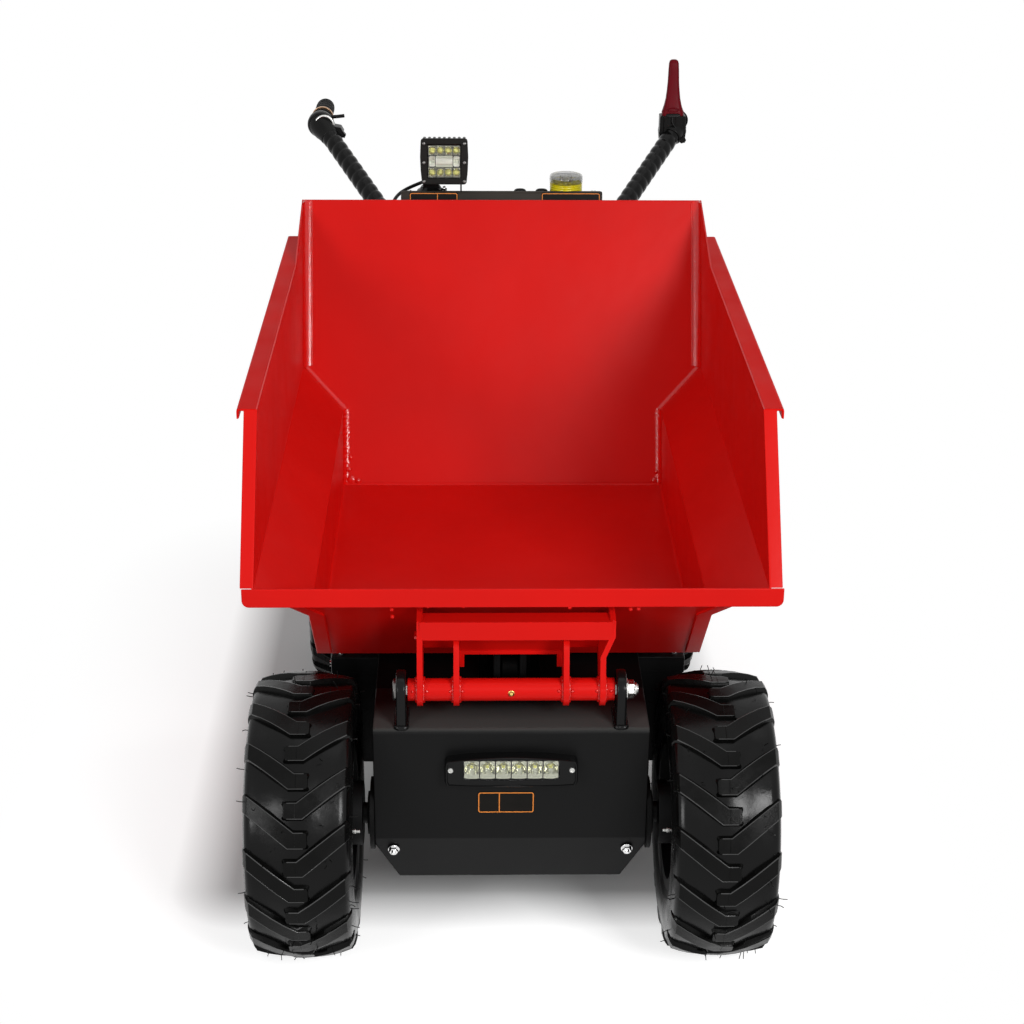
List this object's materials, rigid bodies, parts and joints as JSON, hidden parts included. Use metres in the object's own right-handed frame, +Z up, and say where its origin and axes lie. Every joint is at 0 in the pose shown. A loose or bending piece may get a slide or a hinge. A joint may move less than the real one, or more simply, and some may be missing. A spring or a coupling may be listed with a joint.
{
  "type": "walk-behind electric dump cart",
  "caption": "Walk-behind electric dump cart with a forward-tipping steel bucket, driven front wheels, rear swivel casters, handlebars, work lamp and beacon.",
  "frame": {"origin": "bottom centre of the bounding box, on the ground", "axes": "+Z up, -Y to the front where the bucket tips, +X to the left of the operator who stands behind and faces the front"},
  "size_m": [0.768, 1.6299, 1.032],
  "materials": {
    "red_paint": "gloss enamel",
    "black_paint": "satin powder coat",
    "steel": "zinc plated",
    "cylinder_chrome": "polished",
    "cast_black": "painted casting",
    "tyre_rubber": "moulded, satin",
    "black_rubber": "matte",
    "black_plastic": "fine grain",
    "crimson_plastic": "satin gloss",
    "yellow_plastic": "translucent yellow",
    "clear_lens": "clear polycarbonate",
    "lamp_black": "black anodised casting"
  },
  "bodies": {
    "chassis": {"main_frame": "black_paint", "rear_beam": "black_paint", "rear_spine": "black_paint", "rear_deck": "black_paint", "front_cover": "black_paint", "top_plates": "black_paint", "pivot_lugs": "black_paint", "pivot_bolt": "steel", "axle_housing": "cast_black", "drive_motor": "cast_black", "battery_boxes": "black_paint", "controller_box": "black_paint", "rest_pads": "black_rubber", "console_column": "black_paint", "console_box": "black_paint", "control_knobs": "black_plastic", "handlebars": "black_paint", "handle_sleeves": "black_plastic", "grips": "black_rubber", "throttle_housing": "black_plastic", "lever_clamp": "black_plastic", "hand_lever": "crimson_plastic", "light_bar_housing": "lamp_black", "light_bar_lens": "clear_lens", "work_lamp_housing": "lamp_black", "work_lamp_lens": "clear_lens", "work_lamp_bracket": "black_paint", "beacon_base": "yellow_plastic", "beacon_lens": "clear_lens", "lamp_lead": "black_rubber"},
    "bucket": {"bucket_floor": "red_paint", "bucket_back": "red_paint", "bucket_side_left": "red_paint", "bucket_side_right": "red_paint", "bucket_lip": "red_paint", "pivot_tube": "red_paint", "hinge_bracket": "red_paint", "lift_lug": "black_paint"},
    "lift_barrel": {"lift_barrel": "black_paint"},
    "lift_rod": {"lift_rod": "cylinder_chrome"},
    "front_wheel_left": {"front_tyre_left": "tyre_rubber", "front_rim_left": "black_paint"},
    "caster_left": {"caster_fork_left": "black_paint"},
    "rear_wheel_left": {"rear_tyre_left": "tyre_rubber", "rear_rim_left": "black_paint"},
    "front_wheel_right": {"front_tyre_right": "tyre_rubber", "front_rim_right": "black_paint"},
    "caster_right": {"caster_fork_right": "black_paint"},
    "rear_wheel_right": {"rear_tyre_right": "tyre_rubber", "rear_rim_right": "black_paint"}
  },
  "joints": [
    {"name": "bucket_tilt", "type": "hinge", "parent": "chassis", "child": "bucket", "pos_m": [0, -0.61, 0.407], "axis": [1, 0, 0], "range_deg": [0, 70]},
    {"name": "lift_swing", "type": "hinge", "parent": "chassis", "child": "lift_barrel", "pos_m": [0, -0.21, 0.12], "axis": [1, 0, 0], "range_deg": [-6.83, 1]},
    {"name": "lift_extend", "type": "slide", "parent": "lift_barrel", "child": "lift_rod", "axis": [0, -0.7382, 0.6746], "range_m": [0, 0.1223]},
    {"name": "front_wheel_left_spin", "type": "hinge", "parent": "chassis", "child": "front_wheel_left", "pos_m": [0.294, -0.61, 0.205], "axis": [1, 0, 0], "continuous": true},
    {"name": "caster_left_swivel", "type": "hinge", "parent": "chassis", "child": "caster_left", "pos_m": [0.284, 0.28, 0.349], "axis": [0, 0, 1], "continuous": true},
    {"name": "rear_wheel_left_spin", "type": "hinge", "parent": "caster_left", "child": "rear_wheel_left", "pos_m": [0.284, 0.222, 0.165], "axis": [1, 0, 0], "continuous": true},
    {"name": "front_wheel_right_spin", "type": "hinge", "parent": "chassis", "child": "front_wheel_right", "pos_m": [-0.294, -0.61, 0.205], "axis": [1, 0, 0], "continuous": true},
    {"name": "caster_right_swivel", "type": "hinge", "parent": "chassis", "child": "caster_right", "pos_m": [-0.284, 0.28, 0.349], "axis": [0, 0, 1], "continuous": true},
    {"name": "rear_wheel_right_spin", "type": "hinge", "parent": "caster_right", "child": "rear_wheel_right", "pos_m": [-0.284, 0.222, 0.165], "axis": [1, 0, 0], "continuous": true}
  ],
  "couplings": [
    {"joint": "lift_swing", "follows": "bucket_tilt", "ratio": -0.083267},
    {"joint": "lift_extend", "follows": "bucket_tilt", "m_per_rad": 0.098479}
  ]
}
